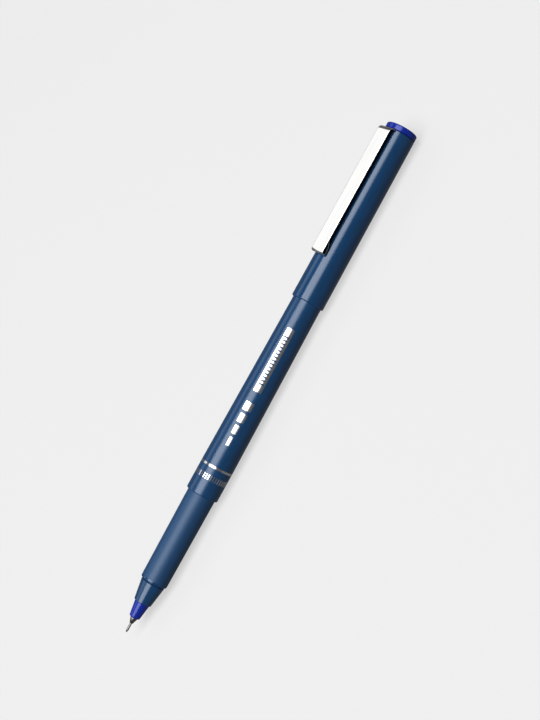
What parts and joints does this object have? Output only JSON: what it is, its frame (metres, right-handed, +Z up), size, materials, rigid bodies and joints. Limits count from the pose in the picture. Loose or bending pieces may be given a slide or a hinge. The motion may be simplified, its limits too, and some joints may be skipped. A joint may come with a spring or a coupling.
{
  "type": "fineliner pen",
  "caption": "Slim fineliner pen lying with its cap posted on the tapered barrel: fibre point in a steel needle, blue collar, satin grip, pull-off cap with a sprung metal clip.",
  "frame": {"origin": "on the table, under the middle of the posted pen's length and below its axis", "axes": "+X along the pen's axis from the writing point to the cap's end, +Z up through the clip"},
  "size_m": [0.1502, 0.0092, 0.0108],
  "materials": {
    "navy_gloss": "moulded, gloss",
    "navy_satin": "moulded, satin",
    "blue_plastic": "moulded, gloss",
    "clip_steel": "polished and plated",
    "nib_steel": "turned",
    "ink_fibre": "bonded fibre, inked",
    "reservoir_fibre": "bonded fibre, inked",
    "clear_film": "film",
    "liner_plastic": "soft moulded"
  },
  "bodies": {
    "pen": {"nib_fibre": "ink_fibre", "nib_tube": "nib_steel", "nib_cone": "nib_steel", "tip_holder": "blue_plastic", "nose_section": "navy_gloss", "grip_sleeve": "navy_satin", "ink_reservoir": "reservoir_fibre", "reservoir_film": "clear_film", "barrel": "navy_gloss", "barrel_end_plug": "navy_gloss"},
    "cap": {"cap_tube": "navy_gloss", "inner_cap": "liner_plastic", "cap_end_plug": "blue_plastic", "clip_root": "clip_steel"},
    "clip": {"clip_arm": "clip_steel"}
  },
  "joints": [
    {"name": "cap_pull", "type": "slide", "parent": "pen", "child": "cap", "axis": [1, 0, 0], "range_m": [0, 0.032]},
    {"name": "clip_flex", "type": "hinge", "parent": "cap", "child": "clip", "pos_m": [0.072, 0, 0.00949], "axis": [0, 1, 0], "range_deg": [0, 4], "stiffness_Nm_per_rad": 0.4}
  ]
}
